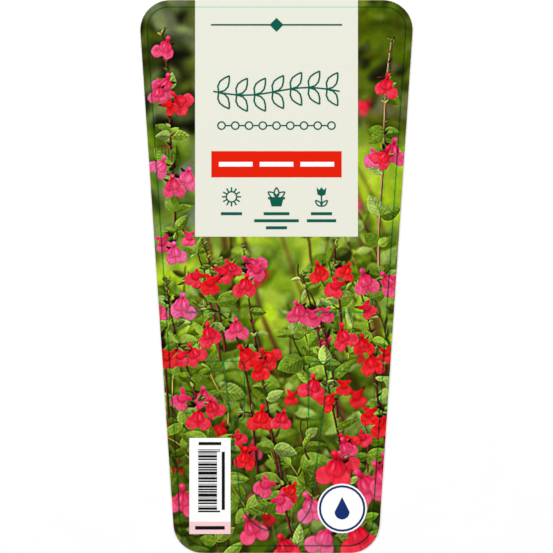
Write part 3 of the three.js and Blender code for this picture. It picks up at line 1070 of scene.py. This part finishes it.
def cutSides(mesh):  # the top edges of the cuts' walls
    top = max(vertex.co.z for vertex in mesh.vertices) - guide["levelGap"] * mm
    uses = {}
    for face in mesh.polygons:
        if min(mesh.vertices[i].co.z for i in face.vertices) > top:
            for key in face.edge_keys:
                uses[key] = uses.get(key, 0) + 1
    for (first, second), count in uses.items():
        a, b = mesh.vertices[first].co / mm, mesh.vertices[second].co / mm
        if count == 1 and insideEdge((a.x + b.x) / 2, (a.y + b.y) / 2) > guide["cutInset"]:
            yield a, b


def printGuides(mesh):
    canvasX, canvasY = np.meshgrid(gridX, gridY)
    whole = (slice(0, rows), slice(0, columns))
    printLine(whole, np.abs(insideEdge(canvasX, canvasY) - guide["inset"]))
    nearest = np.full((rows, columns), guide["beyond"], np.float32)
    for a, b in cutSides(mesh):
        length = (a - b).length
        x, y = (a.x + b.x) / 2, (a.y + b.y) / 2
        place, u, v = around(x, y, length / 2 + 1, 0)
        if missed(place) or length < guide["shortest"]:
            continue
        distance, _ = capsule(u, v, a.x - x, a.y - y, b.x - x, b.y - y, 0, 0)
        nearest[place] = np.minimum(nearest[place], distance)
    printLine(whole, nearest)


endGap = 1.001  # keeps every point between two dots, also at the canvas's far ends


def sampled(x, y):  # the canvas's colour at points of the sheet
    column = np.clip((x - gridX[0]) / dot, 0, columns - endGap)
    row = np.clip((y - gridY[0]) / dot, 0, rows - endGap)
    c, r = column.astype(int), row.astype(int)
    fc, fr = (column - c)[:, None], (row - r)[:, None]
    upper = canvas[r, c] * (1 - fc) + canvas[r, c + 1] * fc
    lower = canvas[r + 1, c] * (1 - fc) + canvas[r + 1, c + 1] * fc
    return upper * (1 - fr) + lower * fr


# the sheet of ink: a fine grid in two halves, cut to the label's outline and to its cuts; where the panel
# covers it, within a half width and above a height, one large face does
inkSheet = {
    "cell": 0.305,
    "covered": (33.9, 18.0),
    "splitY": 0.0,
    "over": 1.001,
    "toolSpare": 0.5,
    "weld": 0.0001,
}


def enter(mode):
    bpy.ops.object.mode_set(mode=mode)


def selectMesh(action="SELECT"):
    bpy.ops.mesh.select_all(action=action)


def outlineTool():
    source = bpy.data.objects["picture_print"]
    tool = source.copy()
    tool.data = source.data.copy()
    tool.name = "outlineTool"
    tool.parent = None
    scene.collection.objects.link(tool)
    activate(tool)
    enter("EDIT")
    selectMesh()
    bpy.ops.mesh.remove_doubles(threshold=inkSheet["weld"] * mm)
    enter("OBJECT")
    return tool


def thicken(tool, amount):
    low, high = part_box("picture_print")
    for vertex in tool.data.vertices:
        vertex.co.z += amount if vertex.co.z > (low.z + high.z) / 2 else -amount


def addGrid(name, size, centre, cells):
    across, along = cells
    deselectAll()
    bpy.ops.mesh.primitive_grid_add(x_subdivisions=across, y_subdivisions=along, size=1, location=centre)
    piece = bpy.context.object
    piece.name = name
    piece.data.name = name
    piece.scale = (*size, 1)
    settle(piece)
    return piece


def pickFaces(item, chosen):  # stays in edit mode, with only the chosen faces selected
    enter("EDIT")
    bpy.ops.mesh.select_mode(type="FACE")
    selectMesh("DESELECT")
    enter("OBJECT")
    for face in item.data.polygons:
        face.select = chosen(face)
    enter("EDIT")


def turnOutwards():  # and leaves edit mode
    selectMesh()
    bpy.ops.mesh.normals_make_consistent(inside=False)
    enter("OBJECT")


def covered(face):
    half, bottom = inkSheet["covered"]
    return abs(face.center.x) < half * mm and face.center.y > bottom * mm


def makeInkSheet(name, left, right, tool):
    low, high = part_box("picture_print")
    size = ((right - left) * mm, (high.y - low.y) * inkSheet["over"])
    centre = ((left + right) / 2 * mm, (low.y + high.y) / 2, high.z)
    cells = (round((right - left) / inkSheet["cell"]), round(sheet["height"] / inkSheet["cell"]))
    piece = addGrid(name, size, centre, cells)
    pickFaces(piece, covered)
    bpy.ops.mesh.dissolve_faces()
    selectMesh()
    bpy.ops.mesh.region_to_loop()
    bpy.ops.mesh.extrude_edges_move(TRANSFORM_OT_translate={"value": (0, 0, low.z - high.z)})
    bpy.ops.mesh.edge_face_add()
    turnOutwards()
    trim = piece.modifiers.new("trim", "BOOLEAN")
    trim.operation = "INTERSECT"
    trim.solver = "MANIFOLD"
    trim.object = tool
    activate(piece)
    bpy.ops.object.modifier_apply(modifier=trim.name)
    print("label:", name, "has", len(piece.data.polygons), "faces")
    return piece


def pulled(items, name, width, kind=np.float32):  # one property of all of a mesh's items
    values = np.zeros(len(items) * width, kind)
    items.foreach_get(name, values)
    return values.reshape(-1, width).squeeze()


def takeInk(piece):
    mesh = piece.data
    points = pulled(mesh.vertices, "co", 3) / mm
    colours = np.ones((len(points), 4), np.float32)
    shown = within(sampled(points[:, 0], points[:, 1]))
    colours[:, :3] = press["strength"] * asLight(shown)
    ink = mesh.color_attributes.new("ink", "FLOAT_COLOR", "POINT")
    ink.data.foreach_set("color", colours.ravel())
    return points


# the map lays the upper and lower half of the sheet side by side, and its underside in a narrow strip
inkMap = {"gap": 0.012, "underside": 0.02, "stripShare": 0.8, "facingDown": -0.5}


def mapInk(piece, points):
    mesh = piece.data
    faces = mesh.polygons
    corners = pulled(mesh.loops, "vertex_index", 1, np.int32)
    starts = pulled(faces, "loop_start", 1, np.int32)
    totals = pulled(faces, "loop_total", 1, np.int32)
    face = np.repeat(np.arange(len(starts)), totals)
    order = np.concatenate([np.arange(s, s + t) for s, t in zip(starts, totals)])
    upper = (pulled(faces, "center", 3)[:, 1] / mm > inkSheet["splitY"])[face]
    under = (pulled(faces, "normal", 3)[:, 2] < inkMap["facingDown"])[face]
    place = points[corners[order]]
    left, right = points[:, 0].min(), points[:, 0].max()
    across = (place[:, 0] - left) / (right - left)
    half = sheet["height"] / 2
    along = np.where(upper, place[:, 1] - inkSheet["splitY"], place[:, 1] + half) / half
    gap, strip = inkMap["gap"], inkMap["underside"]
    wide = (1 - strip - 3 * gap) / 2
    u = strip + gap + across * wide + np.where(upper, wide + gap, 0)
    v = gap + along * (1 - 2 * gap)
    u = np.where(under, across * strip * inkMap["stripShare"], u)
    v = np.where(under, (place[:, 1] + half) / (2 * half), v)
    result = np.zeros((len(mesh.loops), 2), np.float32)
    result[order] = np.stack([u, v], 1)
    mesh.uv_layers.new(name="OFBake").data.foreach_set("uv", result.ravel())


pictureLook = {"speck": 0.24, "darker": 0.7, "level": 0.7}


def makePictureInk():
    finish = Finish("pictureInk")
    colour = finish.node("VertexColor", {"layer_name": "ink"}, {})
    cloudy = clouds(finish)
    share = inkSpecks(finish) * pictureLook["speck"]
    darker = finish.mix(share, (1, 1, 1, 1), (*[pictureLook["darker"]] * 3, 1))
    shown = finish.mix(1.0, colour, darker, "MULTIPLY")
    return finishInk(finish, shown, cloudy, pictureLook["level"])


# the price patch's bars: a short rhythm of bars and gaps in steps of one thin bar, with longer outer bars
stripes = {
    "bars": [2, 3, 1, 2, 3, 1, 4, 2],
    "gaps": [1, 1, 2, 1, 1, 1, 1, 1],
    "step": 0.35,
    "outer": [True, False, True],
    "longer": 1.3,
    "near": 0.1,
    "flat": 0.01,
}


def barRows(count):  # which rows of thin bars are inked
    rhythm = []
    while len(rhythm) < count:
        for bar, gap in zip(stripes["bars"], stripes["gaps"]):
            rhythm += [True] * bar + [False] * gap
    rhythm = rhythm[:count]
    rhythm[-len(stripes["outer"]) :] = stripes["outer"]
    return rhythm


def makeStripes():
    low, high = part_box("price_stripes")
    wide, tall = high.x - low.x, high.y - low.y
    count = round(tall / mm / stripes["step"])
    outer = len(stripes["outer"])
    inked = barRows(count)
    centre = ((low.x + high.x) / 2, (low.y + high.y) / 2, low.z)
    piece = addGrid("priceBars", (wide, tall), centre, (2, count))
    near = stripes["near"] * mm
    for vertex in piece.data.vertices:  # the right column is only as wide as the outer bars are longer
        if abs(vertex.co.x - centre[0]) < near:
            vertex.co.x = high.x
        elif vertex.co.x > high.x - near:
            vertex.co.x = high.x + stripes["longer"] * mm

    def spare(face):
        row = int((face.center.y - low.y) / tall * count)
        return not inked[row] or (face.center.x > high.x and outer <= row < count - outer)

    pickFaces(piece, spare)
    bpy.ops.mesh.delete(type="FACE")
    selectMesh()
    bpy.ops.mesh.dissolve_limited(angle_limit=stripes["flat"])
    selectMesh()
    bpy.ops.mesh.extrude_region_move(TRANSFORM_OT_translate={"value": (0, 0, high.z - low.z)})
    turnOutwards()
    return piece


def middle(name):  # how far right the middle of a node lies
    low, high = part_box(name)
    return (low.x + high.x) / 2 / mm


paintPicture()
print("label: the picture is painted")
tool = outlineTool()
printGuides(tool.data)
thicken(tool, inkSheet["toolSpare"] * mm)
pictureInk = makePictureInk()
sage = named("sage_sprig_", "red_blossoms_", "pink_blossoms_")
edge = picture["half"]
for name, left, right in (("picturePrintLeft", -edge, 0.0), ("picturePrintRight", 0.0, edge)):
    piece = makeInkSheet(name, left, right, tool)
    mapInk(piece, takeInk(piece))
    piece.data.materials.clear()
    piece.data.materials.append(pictureInk)
    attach(piece, "root")
    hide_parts("picture_print", *[node for node in sage if left <= middle(node) < right])
bpy.data.objects.remove(tool)

dress(makePlastic(), "label_sheet")
dress(makePanel(), "info_panel")
printed = {
    "forestGreen": ["top_rule", "garland", "bead_line", *named("sun_", "planter_", "tulip_", "sign_")],
    "barRed": ["accent_bar"],
    "whiteInk": ["price_patch", "badge", *named("bar_dash_")],
    "stripBlush": ["price_strip"],
    "navyInk": ["badge_ring", "badge_drop"],
}
for ink, names in printed.items():
    dress(makeInk(ink), *names)
blackInk = makeInk("blackInk")
dress(blackInk, "strip_rule", *named("patch_rule_"))
bars = makeStripes()
bars.data.materials.append(blackInk)
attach(bars, "root")
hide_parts("price_stripes")
table.data.materials.append(makeInk("tableTop"))
print("label: every part has its material")
